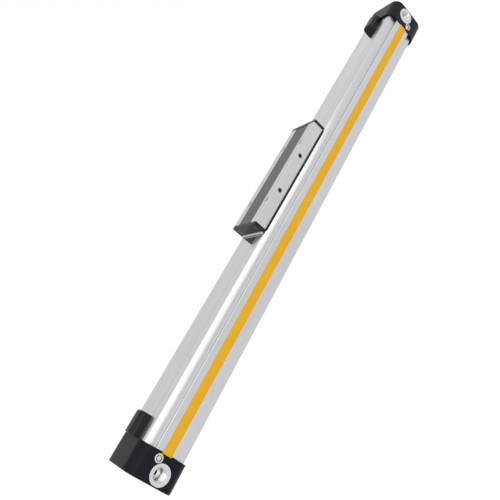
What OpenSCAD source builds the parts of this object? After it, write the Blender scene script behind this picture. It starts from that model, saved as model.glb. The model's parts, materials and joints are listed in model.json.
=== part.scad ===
// Rodless pneumatic cylinder: a slotted barrel closed by two steel bands, with a carriage
// that is tied through the slot to a double piston in the bore.
// X runs along the barrel, the ports face -Y and the carriage rides on top, +Z.
// The origin is midway along the barrel, level with the underside of the end caps.

/* [Cylinder] */
// Travel of the carriage from stop to stop
stroke = 300; // [100:10:1000]
// Where the carriage stands, measured from mid travel
rest_x = 9.7; // [-40:0.1:40]
// Bore of the barrel
bore_d = 25; // [24:0.5:32]

/* [Barrel] */
// Bore to each side and to the underside of the barrel's core
side_wall = 5; // [5:0.5:10]
// Bore to the top of the barrel
top_wall = 6; // [6:0.5:10]
// Radius of the barrel's upper edges
core_top_r = 4; // [1:0.5:5]
// Radius of the barrel's lower edges
core_bottom_r = 3; // [1:0.5:4]
// How far the dovetail rails stand out from the core
rail_depth = 2.5; // [1.5:0.5:4]
// Height of the side rails at their outer face
rail_h = 19; // [14:0.5:22]
// How far each rail edge leans in at its root
rail_lean = 0.8; // [0:0.1:1.5]
// Width of the rail under the barrel
foot_w = 19; // [12:0.5:22]
// Width of the slot in the top of the barrel
slot_w = 5; // [4:0.5:6]
// Bolt channel centre to the side of the core
channel_inset = 4; // [3.5:0.25:4.5]

/* [Trim stripes] */
// Width of the coloured strip in each side rail
stripe_w = 8.2; // [4:0.1:10]
// Thickness of the strip
stripe_t = 0.6; // [0.4:0.1:1]
// How far the strip sits below the bore's axis
stripe_drop = 0.5; // [-1:0.1:2]

/* [Bands] */
// Thickness of both steel bands
band_t = 0.25; // [0.15:0.05:0.4]
// How far the inner band laps each side of the slot
inner_lap = 1; // [0.8:0.1:1.2]
// Top of the inner band above the bore
seat_rise = 0.3; // [0.3:0.05:0.8]
// Slot to each magnet strip
magnet_web = 0.7; // [0.5:0.1:1.5]
// Width of the magnet strips that hold the outer band
magnet_w = 4.2; // [3:0.1:4.5]
// Thickness of the magnet strips
magnet_t = 0.8; // [0.5:0.1:1.2]
// Magnet strip to the edge of the outer band
magnet_edge = 0.9; // [0.6:0.1:1.2]
// How deep both bands reach into the end caps
band_tuck = 5; // [3:0.5:8]

/* [End caps] */
// How far the caps stand out past the rails
cap_step = 0.5; // [0.2:0.1:3]
// Radius of the caps' long edges
cap_corner_r = 8.75; // [5:0.25:9]
// Length of the spigot that centres a cap in the bore
spigot_len = 10; // [9:0.5:14]
// Width of the ring groove in the spigot
ring_groove_w = 2.4; // [2.2:0.1:3]
// Thickness of the spigot's sealing ring
ring_t = 1.9; // [1.5:0.1:2.1]
// Shell of the cap behind the air chamber
cap_floor = 5; // [3:0.5:5.5]

/* [Ports] */
// Diameter of the port bush's flange
port_flange_d = 16; // [14:0.5:17]
// Thickness of the flange
port_flange_t = 2.2; // [1.5:0.1:3]
// Core diameter of the port thread
port_d = 8.8; // [7:0.1:9]
// Wall of the bush round the thread
port_wall = 1.1; // [1:0.1:1.1]
// Depth of the threaded bush
port_depth = 11; // [9:0.5:12]
// Port axis below the bore's axis on the near cap, above it on the far cap
port_drop = 3.1; // [2.8:0.1:3.2]
// Flange edge to the cap's end face
port_margin = 0.5; // [0.3:0.1:5]

/* [Cushioning] */
// Diameter of the cushion needle's head
needle_head_d = 6.5; // [5.5:0.1:7]
// How far the needle's head stands proud
needle_proud = 1.2; // [0:0.1:2]
// How deep the needle's head sits in the cap
needle_sunk = 2; // [1:0.1:3]
// Diameter of the needle's threaded body
needle_d = 5; // [4:0.1:5]
// Port to cushion needle, along the cylinder
needle_pitch = 9; // [8.8:0.1:9.6]
// Web between the port flange and the needle's head
port_web = 0.5; // [0.4:0.05:0.8]
// Needle's head to the cap's inner face
needle_margin = 1.25; // [0.8:0.05:4]
// Diameter of the cushion boss on each piston
boss_d = 10; // [9:0.5:11]
// Length of the cushion boss
boss_len = 12; // [8:0.5:14]
// Width of the cushion seal
cushion_seal_w = 3.6; // [3:0.1:4]
// Thickness of the cushion seal
cushion_seal_t = 1.8; // [1.5:0.1:2]

/* [Cap screws] */
// Diameter of the screws' cylindrical heads
head_d = 8; // [7:0.1:8]
// Length of the heads
head_len = 16; // [12:0.5:17]
// Diameter of the screws' shanks
shank_d = 5; // [4:0.1:5]
// How far the shanks reach into the barrel
shank_bite = 14; // [8:1:30]
// Core diameter of the mounting thread in each head
mount_thread_d = 4.2; // [3.3:0.1:4.6]
// Depth of the mounting thread
mount_thread_len = 11; // [8:0.5:11]

/* [Band clamps] */
// How far each clamp reaches from its cap
clamp_len = 17; // [14:0.5:30]
// Width of the clamp
clamp_w = 12; // [9:0.5:15]
// Height of the clamp above the barrel
clamp_h = 7.5; // [7:0.5:12]
// Radius of the clamp's upper edges
clamp_r = 4; // [1:0.25:4.25]
// Radius of the clamp's free end
clamp_tip_r = 2; // [1:0.25:4]
// Clamp screw diameter
clamp_screw_d = 2.5; // [2:0.1:2.5]
// Clamp screw head diameter
clamp_head_d = 4; // [3.5:0.1:4]
// Clamp screw head thickness
clamp_head_t = 1.2; // [0.8:0.1:1.6]
// How far each clamp screw stands from the ends of its nut
clamp_screw_inset = 3; // [2.5:0.1:4]
// How deep each clamp screw reaches into the clamp
clamp_bite = 5; // [3:0.5:6]
// Nut to the cap, and nut to the clamp's free end
nut_margin = 1.5; // [1:0.1:3]

/* [Carriage] */
// Overall length of the carriage
carriage_len = 118; // [112:1:200]
// Carriage's side set back from the side of the barrel's core
carriage_inset = 1; // [0.5:0.1:1.2]
// Height of the side walls
wall_h = 8.9; // [8.9:0.1:20]
// Radius along the walls' outer edges
wall_edge_r = 0.6; // [0.2:0.1:1.5]
// Outer band to the side walls
wall_gap = 0.7; // [0.5:0.1:1.5]
// Thickness of the base plate over the slot
base_t = 1.8; // [1.5:0.1:2]
// Thickness of the shoes that slide on the barrel
shoe_t = 2; // [1.8:0.1:4]
// Thickness of the walls' skirts outside the shoes
skirt_t = 1.2; // [0.8:0.1:2]
// How far the shoes' lips reach down over the barrel's shoulders
lip_drop = 1.6; // [1.3:0.1:2.5]
// Thickness of the plates at the carriage's ends
end_plate_t = 3; // [1.5:0.1:4]
// Pitch of the mounting threads along the carriage
mount_pitch = 65; // [50:1:90]
// Mounting thread to the inside of its wall
mount_inset = 3.5; // [3.2:0.1:3.6]
// Floor left under each mounting thread
mount_floor = 0.9; // [0.5:0.1:2]
// Pitch of the cover's set screws
side_screw_pitch = 39; // [24:1:50]
// Diameter of the set screws
side_screw_d = 3.5; // [3:0.1:4]
// How deep each set screw sits in its hole
side_screw_sunk = 0.6; // [0.2:0.1:1]
// Stop gap between carriage and clamp at the end of travel
stop_gap = 2; // [1.5:0.5:10]

/* [Carriage cover] */
// Thickness of the cover's top
cover_t = 2.3; // [1.5:0.1:2.5]
// How far the cover sits below the walls
cover_sunk = 0.2; // [0:0.1:1]
// Thickness of the cover's legs
leg_t = 1.5; // [1:0.1:2]
// Width of the ledges that carry the cover
ledge_w = 0.6; // [0.4:0.1:0.6]
// Thickness of the ledges
ledge_t = 0.7; // [0.5:0.1:1]

/* [Band guide] */
// Thickness of the guide over the base plate
guide_t = 0.5; // [0.3:0.1:1]
// Length of each ramp of the outer band
outer_ramp = 18; // [14:1:20]
// End of the outer band's ramp to the end of the carriage
ramp_margin = 12.5; // [12:0.5:14]
// Length of the wipers behind the end plates
wiper_len = 5.5; // [4:0.5:5.5]
// Thickness of the wipers' lips under the end plates
wiper_t = 1.2; // [0.8:0.1:1.5]
// How far the lips stand out past the end plates
wiper_proud = 1.2; // [0:0.1:1.2]
// Leg of each end plate beside its wiper
plate_leg = 1; // [0.8:0.1:3]

/* [Yoke and pistons] */
// Length of each piston without its boss
piston_len = 21.5; // [20:0.5:24]
// Length of each ramp of the inner band
inner_ramp = 20; // [16:1:20]
// Depth of the inner band's path through the yoke, from the bore's axis
tunnel_z = 6.3; // [5:0.1:7]
// Width of the wear ring
wear_w = 4.5; // [3:0.5:5]
// Thickness of the wear ring
wear_t = 1.5; // [1:0.1:2]
// Width of the ring magnet
ring_magnet_w = 4; // [3:0.5:4]
// Thickness of the ring magnet
ring_magnet_t = 2.5; // [2:0.1:3]
// Width of the lip seal
seal_w = 4; // [3:0.5:4]
// Thickness of the lip seal
seal_t = 2.6; // [2:0.1:3]
// Lands between the piston's grooves
piston_land = 2.2; // [1.5:0.1:2.2]
// Diameter of the piston screws
piston_screw_d = 4; // [3:0.1:4]
// How far the piston screws reach into the yoke
piston_screw_bite = 10; // [6:0.5:14]

/* [Clearances] */
// Radial play of shafts, screws and inserts in their holes
fit = 0.05; // [0.02:0.01:0.08]
// Gap between surfaces that slide past each other
run = 0.3; // [0.3:0.05:0.4]
// End gap between piston and spigot at the end of travel
end_play = 0.5; // [0.4:0.1:1]

/* [Hidden] */
$fn = 64;
near = -1;
far = 1;
over = 1;

// Barrel section, measured from the bore's axis
bore_r = bore_d / 2;
core_w = bore_d + 2 * side_wall;
core_top = bore_r + top_wall;
core_bottom = -core_w / 2;
rail_y = core_w / 2 + rail_depth;
channel_y = core_w / 2 - channel_inset;
channel_d = shank_d + 2 * fit;
inner_band_w = slot_w + 2 * inner_lap;
inner_seat = bore_r + seat_rise;
outer_band_w = slot_w + 2 * (magnet_web + magnet_w + magnet_edge);
band_side_gap = 0.2;
outer_seat = core_top - band_t;

// End cap, measured from its end face
cap_w = 2 * (rail_y + cap_step);
axis_z = cap_w / 2;
port_x = port_flange_d / 2 + port_margin;
needle_rise = sqrt(pow((port_flange_d + needle_head_d) / 2 + port_web, 2)
    - pow(needle_pitch, 2)) - port_drop;
needle_x = port_x + needle_pitch;
cap_len = needle_x + needle_head_d / 2 + needle_margin;
spigot_r = bore_r - fit;
chamber_r = boss_d / 2 + run;
sleeve_r = port_d / 2 + port_wall;
passage_r = 3;
bleed_r = 0.75;
bleed_wall = 1;
bleed_y = chamber_r + cushion_seal_t + bleed_r + bleed_wall;
needle_tip_len = 2.2;
needle_socket_depth = 2;
mount_socket_len = 3;
// The stripes run into the caps' rims until just short of the needles' heads
stripe_lap = needle_margin - 1.5 * run;
needle_socket_r = 1.5;

// Hex sockets of the band clamps' screws
clamp_socket_r = 0.9;
clamp_socket_depth = 0.8;

// Lengths along the cylinder
carriage_half = carriage_len / 2;
end_room = cap_len + clamp_len + stop_gap + carriage_half;
half_len = stroke / 2 + end_room;
barrel_half = half_len - cap_len;
piston_reach = clamp_len + stop_gap + carriage_half - spigot_len - end_play;
yoke_half = piston_reach - piston_len;

// Carriage, measured from the bore's axis and from its own middle
wall_in = outer_band_w / 2 + wall_gap;
wall_out = core_w / 2 - carriage_inset;
wall_half = carriage_half - end_plate_t;
shoe_bottom = core_top + run;
wall_bottom = shoe_bottom + shoe_t;
wall_top = wall_bottom + wall_h;
base_top = wall_bottom + base_t;
arch_z = base_top + guide_t + run;
ledge_clear = 0.65;
ledge_top = arch_z + band_t + ledge_clear;
cover_top = wall_top - cover_sunk;
cover_under = cover_top - cover_t;
cover_play = 0.1;
outer_ramp_out = carriage_half - ramp_margin;
outer_ramp_in = outer_ramp_out - outer_ramp;
base_margin = 2;
base_half = outer_ramp_in - base_margin;
side_screw_drop = 1.3;
side_screw_z = ledge_top + side_screw_d / 2 - side_screw_drop;
side_socket_r = 1.1;
side_socket_depth = 1.8;
plate_screw_rise = 3.5;
plate_screw_z = wall_bottom + plate_screw_rise;
plate_screw_d = 2.5;
plate_screw_len = 9;
plate_head_seat = 0.8;
plate_head_sunk = 0.1;
plate_head_r = plate_screw_d * 0.9;
plate_socket_r = 1;
plate_socket_depth = 0.7;
guide_lift = 0.6;
guide_side_gap = 1.5;

// Yoke, measured from the bore's axis and from the carriage's middle
inner_ramp_margin = 2;
inner_ramp_out = yoke_half - inner_ramp_margin;
inner_ramp_in = inner_ramp_out - inner_ramp;
roof_margin = 5;
roof_half = inner_ramp_in - roof_margin;
web_margin = 1;
web_half = roof_half - web_margin;
web_w = slot_w - 2 * run;
yoke_r = bore_r - run;
tunnel_w = inner_band_w + 2 * run;
yoke_screw_d = 3;
yoke_screw_len = 9;
yoke_screw_inset = 6;
yoke_socket_r = 0.9;
yoke_socket_depth = 0.9;
web_root = 2;
piston_play = 0.08;
piston_r = bore_r - piston_play;
piston_head_d = 7;
piston_head_len = 4;
piston_socket_r = 1.7;
piston_socket_depth = 2;
boss_tip = 1.5;
magnet_sunk = 0.3;

function ease(t) = t * t * (3 - 2 * t);
function ramp(x0, x1, z0, z1, first = 0, last = 8) =
    [for (i = [first:last]) [x0 + (x1 - x0) * i / 8, z0 + (z1 - z0) * ease(i / 8)]];
function mirrored(path) = [for (i = [len(path) - 1:-1:0]) [-path[i][0], path[i][1]]];
function moved(path, dx, dz) = [for (p = path) [p[0] + dx, p[1] + dz]];
function reversed(path) = [for (i = [len(path) - 1:-1:0]) path[i]];

// Lower faces of the bands on the carriage's +X half
outer_rise = ramp(outer_ramp_in, outer_ramp_out, arch_z, outer_seat);
inner_dip = ramp(inner_ramp_in, inner_ramp_out, tunnel_z, inner_seat - band_t);

module at_axis() {
    translate([0, 0, axis_z]) children();
}

// A place measured inwards from one end face, at the height of the bore's axis
module at_end(end) {
    translate([end * half_len, 0, axis_z])
        mirror([end == far ? 1 : 0, 0, 0]) children();
}

module at_carriage() {
    translate([rest_x, 0, axis_z]) children();
}

// The same place for the pistons, measured outwards from one end of the yoke
module at_yoke_end(end) {
    at_carriage() mirror([end == near ? 1 : 0, 0, 0])
        translate([yoke_half, 0, 0]) children();
}

// A section drawn in Y and Z, pushed along X
module along_x(from, to) {
    translate([from, 0, 0]) rotate([90, 0, 90]) linear_extrude(height = to - from) children();
}

// A side view drawn in X and Z, given a width in Y
module across_y(width) {
    rotate([90, 0, 0]) linear_extrude(height = width, center = true) children();
}

module rod_x(x0, x1, r, y = 0, z = 0) {
    translate([x0, y, z]) rotate([0, 90, 0]) cylinder(r = r, h = x1 - x0);
}

// A rod from the front face of a cap inwards, drawn along +Y
module rod_y(x, z, y0, y1, r, r_end = -1) {
    translate([x, y0, z]) rotate([-90, 0, 0])
        cylinder(r1 = r, r2 = r_end < 0 ? r : r_end, h = y1 - y0);
}

module tube_x(x0, x1, r_out, r_in) {
    difference() {
        rod_x(x0, x1, r_out);
        rod_x(x0 - over, x1 + over, r_in);
    }
}

module round_box(y0, y1, z0, z1, r) {
    translate([y0 + r, z0]) square([y1 - y0 - 2 * r, z1 - z0]);
    translate([y0, z0 + r]) square([y1 - y0, z1 - z0 - 2 * r]);
    for (y = [y0 + r, y1 - r], z = [z0 + r, z1 - r])
        translate([y, z]) circle(r = r);
}

module box_2d(y0, y1, z0, z1) {
    translate([y0, z0]) square([y1 - y0, z1 - z0]);
}

// Barrel ------------------------------------------------------------------------------

module core_outline() {
    overlap = core_top_r + core_bottom_r;
    round_box(-core_w / 2, core_w / 2, -overlap, core_top, core_top_r);
    round_box(-core_w / 2, core_w / 2, core_bottom, overlap, core_bottom_r);
}

function root_half(width) = width / 2 - rail_lean * (1 + 1 / rail_depth);

// The dovetails of both sides, drawn as one bar through the core
module side_rails() {
    root = core_w / 2 - 1;
    low = root_half(rail_h);
    edge = rail_h / 2;
    polygon([[-rail_y, -edge], [-root, -low], [root, -low], [rail_y, -edge],
        [rail_y, edge], [root, low], [-root, low], [-rail_y, edge]]);
}

module foot_rail() {
    root = 1 - core_w / 2;
    low = root_half(foot_w);
    polygon([[-low, root], [-foot_w / 2, -rail_y], [foot_w / 2, -rail_y], [low, root]]);
}

module barrel_section() {
    magnet_y = slot_w / 2 + magnet_web;
    difference() {
        union() {
            core_outline();
            side_rails();
            foot_rail();
        }
        circle(d = bore_d);
        box_2d(-slot_w / 2, slot_w / 2, 0, core_top + over);
        box_2d(-inner_band_w / 2 - band_side_gap, inner_band_w / 2 + band_side_gap, 0, inner_seat);
        box_2d(-outer_band_w / 2 - band_side_gap, outer_band_w / 2 + band_side_gap,
            outer_seat, core_top + over);
        for (s = [-1, 1]) {
            mirror([s < 0 ? 1 : 0, 0]) {
                box_2d(magnet_y, magnet_y + magnet_w + 2 * fit, outer_seat - magnet_t,
                    core_top + over);
                box_2d(rail_y - stripe_t, rail_y + over, -stripe_drop - stripe_w / 2 - fit,
                    -stripe_drop + stripe_w / 2 + fit);
            }
            for (z = [-channel_y, channel_y])
                translate([s * channel_y, z]) circle(d = channel_d);
        }
    }
}

module barrel() {
    color([0.78, 0.79, 0.81]) at_axis() along_x(-barrel_half, barrel_half) barrel_section();
}

module stripe(side) {
    y = rail_y - stripe_t;
    color([0.93, 0.68, 0.16]) at_axis() mirror([0, side > 0 ? 0 : 1, 0])
        along_x(-barrel_half - stripe_lap, barrel_half + stripe_lap)
            box_2d(y, rail_y, -stripe_drop - stripe_w / 2, -stripe_drop + stripe_w / 2);
}

module stripe_front() {
    stripe(-1);
}

module stripe_back() {
    stripe(1);
}

module band_magnets() {
    y = slot_w / 2 + magnet_web + fit;
    color([0.25, 0.25, 0.27]) at_axis()
        for (s = [-1, 1])
            mirror([0, s < 0 ? 1 : 0, 0]) along_x(-barrel_half, barrel_half)
                box_2d(y, y + magnet_w, outer_seat - magnet_t, outer_seat - fit);
}

// Bands -------------------------------------------------------------------------------

module band(half_path, level, width) {
    end_x = barrel_half + band_tuck;
    path = concat([[-end_x, level]], moved(mirrored(half_path), rest_x, 0),
        moved(half_path, rest_x, 0), [[end_x, level]]);
    across_y(width) polygon(concat(path, reversed(moved(path, 0, band_t))));
}

function clamp_screw_x(i) = i == 0
    ? cap_len + nut_margin + clamp_screw_inset
    : cap_len + clamp_len - nut_margin - clamp_screw_inset;

module outer_band() {
    color([0.77, 0.77, 0.76]) difference() {
        at_axis() band(outer_rise, outer_seat, outer_band_w);
        for (end = [near, far], i = [0, 1])
            at_end(end) translate([clamp_screw_x(i), 0, outer_seat - over])
                cylinder(d = clamp_screw_d + 4 * fit, h = band_t + 2 * over);
    }
}

module inner_band() {
    color([0.72, 0.72, 0.71]) at_axis() band(inner_dip, inner_seat - band_t, inner_band_w);
}

// End caps ----------------------------------------------------------------------------

function port_z(end) = end * port_drop;
function needle_z(end) = -end * needle_rise;

module cap_block() {
    along_x(0, cap_len) round_box(-cap_w / 2, cap_w / 2, -cap_w / 2, cap_w / 2, cap_corner_r);
    rod_x(cap_len - over, cap_len + spigot_len, spigot_r);
}

module screw_bores() {
    for (y = [-channel_y, channel_y], z = [-channel_y, channel_y]) {
        rod_x(-over, head_len, head_d / 2 + fit, y, z);
        rod_x(0, cap_len + over, shank_d / 2 + 2 * fit, y, z);
    }
}

module port_bore(end) {
    face = -cap_w / 2;
    rod_y(port_x, port_z(end), face - over, face + port_flange_t, port_flange_d / 2 + fit);
    rod_y(port_x, port_z(end), face, face + port_depth, sleeve_r + fit);
    rod_y(port_x, port_z(end), face, 0, passage_r);
}

module needle_bore(end) {
    face = -cap_w / 2;
    rod_y(needle_x, needle_z(end), face - over, face + needle_sunk + fit, needle_head_d / 2 + fit);
    rod_y(needle_x, needle_z(end), face, -bleed_y, needle_d / 2 + fit);
    rod_y(needle_x, needle_z(end), face, 0, bleed_r);
    rod_x(needle_x, cap_len + spigot_len + over, bleed_r, -bleed_y, needle_z(end));
}

// Pockets in the inner face for the ends of both bands and of both stripes
module band_pockets() {
    y_outer = outer_band_w / 2 + band_side_gap;
    y_inner = inner_band_w / 2 + band_side_gap;
    stripe_half = stripe_w / 2 + band_side_gap;
    along_x(cap_len - band_tuck - fit, cap_len + over) {
        box_2d(-y_outer, y_outer, outer_seat - fit, core_top + fit);
        box_2d(-y_inner, y_inner, inner_seat - band_t, inner_seat + fit);
    }
    along_x(cap_len - stripe_lap - band_side_gap, cap_len + over)
        for (s = [0, 1])
            mirror([s, 0]) box_2d(rail_y - stripe_t, cap_w / 2 + over, -stripe_drop - stripe_half,
                -stripe_drop + stripe_half);
}

function ring_groove_x() = cap_len + spigot_len - cushion_seal_w - ring_groove_w;

module end_cap(end) {
    color([0.16, 0.17, 0.19]) at_end(end) difference() {
        cap_block();
        screw_bores();
        port_bore(end);
        needle_bore(end);
        band_pockets();
        rod_x(cap_floor, cap_len + spigot_len + over, chamber_r);
        rod_x(cap_len + spigot_len - cushion_seal_w, cap_len + spigot_len + over,
            chamber_r + cushion_seal_t);
        tube_x(ring_groove_x(), ring_groove_x() + ring_groove_w, bore_r + over, spigot_r - ring_t);
    }
}

module end_cap_near() {
    end_cap(near);
}

module end_cap_far() {
    end_cap(far);
}

// Screws whose heads end flush with the cap and carry a mounting thread
module cap_screws(end) {
    color([0.75, 0.75, 0.77]) at_end(end)
        for (y = [-channel_y, channel_y], z = [-channel_y, channel_y])
            difference() {
                union() {
                    rod_x(0, head_len, head_d / 2, y, z);
                    rod_x(head_len - over, cap_len + shank_bite, shank_d / 2, y, z);
                }
                rod_x(-over, mount_thread_len, mount_thread_d / 2, y, z);
                translate([mount_thread_len - over, y, z]) rotate([0, 90, 0])
                    cylinder(r = mount_thread_d / 2 - fit, h = mount_socket_len + over, $fn = 6);
            }
}

module cap_screws_near() {
    cap_screws(near);
}

module cap_screws_far() {
    cap_screws(far);
}

module port_bush(end) {
    face = -cap_w / 2;
    lead = 0.5;
    color([0.83, 0.83, 0.84]) at_end(end) difference() {
        union() {
            rod_y(port_x, port_z(end), face, face + port_flange_t, port_flange_d / 2);
            rod_y(port_x, port_z(end), face, face + port_depth, sleeve_r);
        }
        rod_y(port_x, port_z(end), face - over, face + port_depth + over, port_d / 2);
        rod_y(port_x, port_z(end), face, face + lead, port_d / 2 + lead, port_d / 2);
    }
}

module port_bush_near() {
    port_bush(near);
}

module port_bush_far() {
    port_bush(far);
}

module cushion_needle(end) {
    face = -cap_w / 2;
    crown = 0.5;
    body_end = -bleed_y - needle_tip_len - 2 * fit;
    color([0.8, 0.8, 0.82]) at_end(end) difference() {
        union() {
            rod_y(needle_x, needle_z(end), face - needle_proud, face - needle_proud + crown,
                needle_head_d / 2 - crown, needle_head_d / 2);
            rod_y(needle_x, needle_z(end), face - needle_proud + crown, face + needle_sunk,
                needle_head_d / 2);
            rod_y(needle_x, needle_z(end), face, body_end, needle_d / 2);
            rod_y(needle_x, needle_z(end), body_end, body_end + needle_tip_len, needle_d / 2,
                bleed_r);
        }
        translate([needle_x, face - needle_proud - over, needle_z(end)]) rotate([-90, 0, 0])
            cylinder(r = needle_socket_r, h = needle_socket_depth + over, $fn = 6);
    }
}

module cushion_needle_near() {
    cushion_needle(near);
}

module cushion_needle_far() {
    cushion_needle(far);
}

module cushion_seal(end) {
    x1 = cap_len + spigot_len;
    color([0.1, 0.1, 0.1]) at_end(end)
        tube_x(x1 - cushion_seal_w, x1 - fit, chamber_r + cushion_seal_t - fit,
            boss_d / 2 + 0.08);
}

module cushion_seal_near() {
    cushion_seal(near);
}

module cushion_seal_far() {
    cushion_seal(far);
}

module spigot_ring(end) {
    mid = ring_groove_x() + ring_groove_w / 2;
    color([0.1, 0.1, 0.1]) at_end(end) translate([mid, 0, 0]) rotate([0, 90, 0])
        rotate_extrude() translate([spigot_r - ring_t / 2, 0]) circle(d = ring_t, $fn = 32);
}

module spigot_ring_near() {
    spigot_ring(near);
}

module spigot_ring_far() {
    spigot_ring(far);
}

// Band clamps -------------------------------------------------------------------------

module clamp_section() {
    top = core_top + clamp_h;
    round_box(-clamp_w / 2, clamp_w / 2, core_top - clamp_r, top, clamp_r);
    box_2d(-clamp_w / 2, clamp_w / 2, core_top, top - clamp_r);
}

module clamp_side() {
    x1 = cap_len + clamp_len;
    top = core_top + clamp_h;
    round_box(cap_len, x1, core_top, top, clamp_tip_r);
    box_2d(cap_len, x1, core_top, top - clamp_tip_r);
    box_2d(cap_len, x1 - clamp_tip_r, core_top, top);
}

module band_clamp(end) {
    color([0.18, 0.18, 0.19]) at_end(end) difference() {
        intersection() {
            along_x(cap_len, cap_len + clamp_len) clamp_section();
            across_y(clamp_w + 2 * over) clamp_side();
        }
        for (i = [0, 1])
            translate([clamp_screw_x(i), 0, core_top - over])
                cylinder(d = clamp_screw_d + 2 * fit, h = clamp_bite + over + 2 * fit);
    }
}

module band_clamp_near() {
    band_clamp(near);
}

module band_clamp_far() {
    band_clamp(far);
}

function nut_bottom() = inner_seat + band_side_gap;

module clamp_nut(end) {
    x0 = cap_len + nut_margin;
    x1 = cap_len + clamp_len - nut_margin;
    half_w = slot_w / 2 - 2 * fit;
    color([0.6, 0.6, 0.62]) at_end(end) difference() {
        along_x(x0, x1) box_2d(-half_w, half_w, nut_bottom(), outer_seat);
        for (i = [0, 1])
            translate([clamp_screw_x(i), 0, nut_bottom() - over]) {
                cylinder(d = clamp_head_d + 2 * fit, h = clamp_head_t + over);
                cylinder(d = clamp_screw_d + 2 * fit, h = top_wall + over);
            }
    }
}

module clamp_nut_near() {
    clamp_nut(near);
}

module clamp_nut_far() {
    clamp_nut(far);
}

module clamp_screws(end) {
    color([0.3, 0.3, 0.32]) at_end(end)
        for (i = [0, 1])
            translate([clamp_screw_x(i), 0, nut_bottom()]) difference() {
                union() {
                    cylinder(d = clamp_head_d, h = clamp_head_t);
                    cylinder(d = clamp_screw_d, h = core_top + clamp_bite - nut_bottom());
                }
                translate([0, 0, -over])
                    cylinder(r = clamp_socket_r, h = clamp_socket_depth + over, $fn = 6);
            }
}

module clamp_screws_near() {
    clamp_screws(near);
}

module clamp_screws_far() {
    clamp_screws(far);
}

// Pistons -----------------------------------------------------------------------------

function wear_x() = piston_land;
function ring_magnet_x() = wear_x() + wear_w + piston_land;
function seal_x() = ring_magnet_x() + ring_magnet_w + piston_land;
function piston_head_x() = piston_len + boss_len - piston_head_len - boss_tip;

module ring_groove(x, width, depth) {
    tube_x(x, x + width, bore_r + over, piston_r - depth);
}

module piston(end) {
    color([0.62, 0.63, 0.65]) at_yoke_end(end) difference() {
        union() {
            rod_x(0, piston_len, piston_r);
            rod_x(piston_len - over, piston_len + boss_len - boss_tip, boss_d / 2);
            translate([piston_len + boss_len - boss_tip, 0, 0]) rotate([0, 90, 0])
                cylinder(r1 = boss_d / 2, r2 = (boss_d - boss_tip) / 2, h = boss_tip);
        }
        ring_groove(wear_x(), wear_w, wear_t);
        ring_groove(ring_magnet_x(), ring_magnet_w, ring_magnet_t);
        ring_groove(seal_x(), seal_w, seal_t);
        rod_x(-over, piston_len + boss_len, piston_screw_d / 2 + fit);
        rod_x(piston_head_x(), piston_len + boss_len + over, piston_head_d / 2 + fit);
    }
}

module piston_near() {
    piston(near);
}

module piston_far() {
    piston(far);
}

module wear_ring(end) {
    color([0.35, 0.3, 0.26]) at_yoke_end(end)
        tube_x(wear_x() + fit, wear_x() + wear_w - fit, bore_r - fit, piston_r - wear_t + fit);
}

module wear_ring_near() {
    wear_ring(near);
}

module wear_ring_far() {
    wear_ring(far);
}

module ring_magnet(end) {
    x0 = ring_magnet_x();
    color([0.2, 0.2, 0.22]) at_yoke_end(end)
        tube_x(x0 + fit, x0 + ring_magnet_w - fit, piston_r - magnet_sunk,
            piston_r - ring_magnet_t + fit);
}

module ring_magnet_near() {
    ring_magnet(near);
}

module ring_magnet_far() {
    ring_magnet(far);
}

// Lip seal: a cup whose outer lip points at the pressure side
module piston_seal(end) {
    r_in = piston_r - seal_t + fit;
    r_out = bore_r - fit;
    lip = 0.8;
    lip_land = 1;
    cup_depth = 1.6;
    x0 = seal_x() + fit;
    x1 = seal_x() + seal_w - fit;
    color([0.12, 0.12, 0.12]) at_yoke_end(end) rotate([0, 90, 0]) rotate_extrude()
        polygon([[r_in, x0], [r_out - lip, x0], [r_out, x1 - lip_land], [r_out, x1],
            [r_out - lip, x1], [(r_in + r_out) / 2, x1 - cup_depth], [r_in + lip, x1], [r_in, x1]]);
}

module piston_seal_near() {
    piston_seal(near);
}

module piston_seal_far() {
    piston_seal(far);
}

module piston_screws() {
    color([0.3, 0.3, 0.32]) for (end = [near, far])
        at_yoke_end(end) difference() {
            head_x = piston_head_x();
            union() {
                rod_x(-piston_screw_bite, head_x + over, piston_screw_d / 2);
                rod_x(head_x, head_x + piston_head_len, piston_head_d / 2);
            }
            translate([head_x + piston_head_len - piston_socket_depth, 0, 0]) rotate([0, 90, 0])
                cylinder(r = piston_socket_r, h = piston_socket_depth + over, $fn = 6);
        }
}

// Yoke --------------------------------------------------------------------------------

// Room for the inner band: a tunnel under the web that opens upwards beyond it
module band_channel() {
    low = moved(concat(mirrored(inner_dip), inner_dip), 0, -run);
    roof = tunnel_z + band_t + run;
    across_y(tunnel_w) polygon(concat([[-yoke_half - over, inner_seat - band_t]], low,
        [[yoke_half + over, inner_seat - band_t], [yoke_half + over, bore_r + over],
        [roof_half, bore_r + over], [roof_half, roof], [-roof_half, roof],
        [-roof_half, bore_r + over], [-yoke_half - over, bore_r + over]]));
}

function yoke_screw_x() = [-web_half + yoke_screw_inset, 0, web_half - yoke_screw_inset];

module yoke() {
    color([0.66, 0.67, 0.69]) at_carriage() difference() {
        union() {
            difference() {
                rod_x(-yoke_half, yoke_half, yoke_r);
                band_channel();
            }
            across_y(web_w) box_2d(-web_half, web_half, bore_r - web_root, wall_bottom);
        }
        for (end = [near, far])
            mirror([end == near ? 1 : 0, 0, 0])
                rod_x(yoke_half - piston_screw_bite - fit, yoke_half + over,
                    piston_screw_d / 2 + fit);
        for (x = yoke_screw_x())
            translate([x, 0, base_top - yoke_screw_len - fit])
                cylinder(d = yoke_screw_d + 2 * fit, h = yoke_screw_len + over);
    }
}

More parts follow.
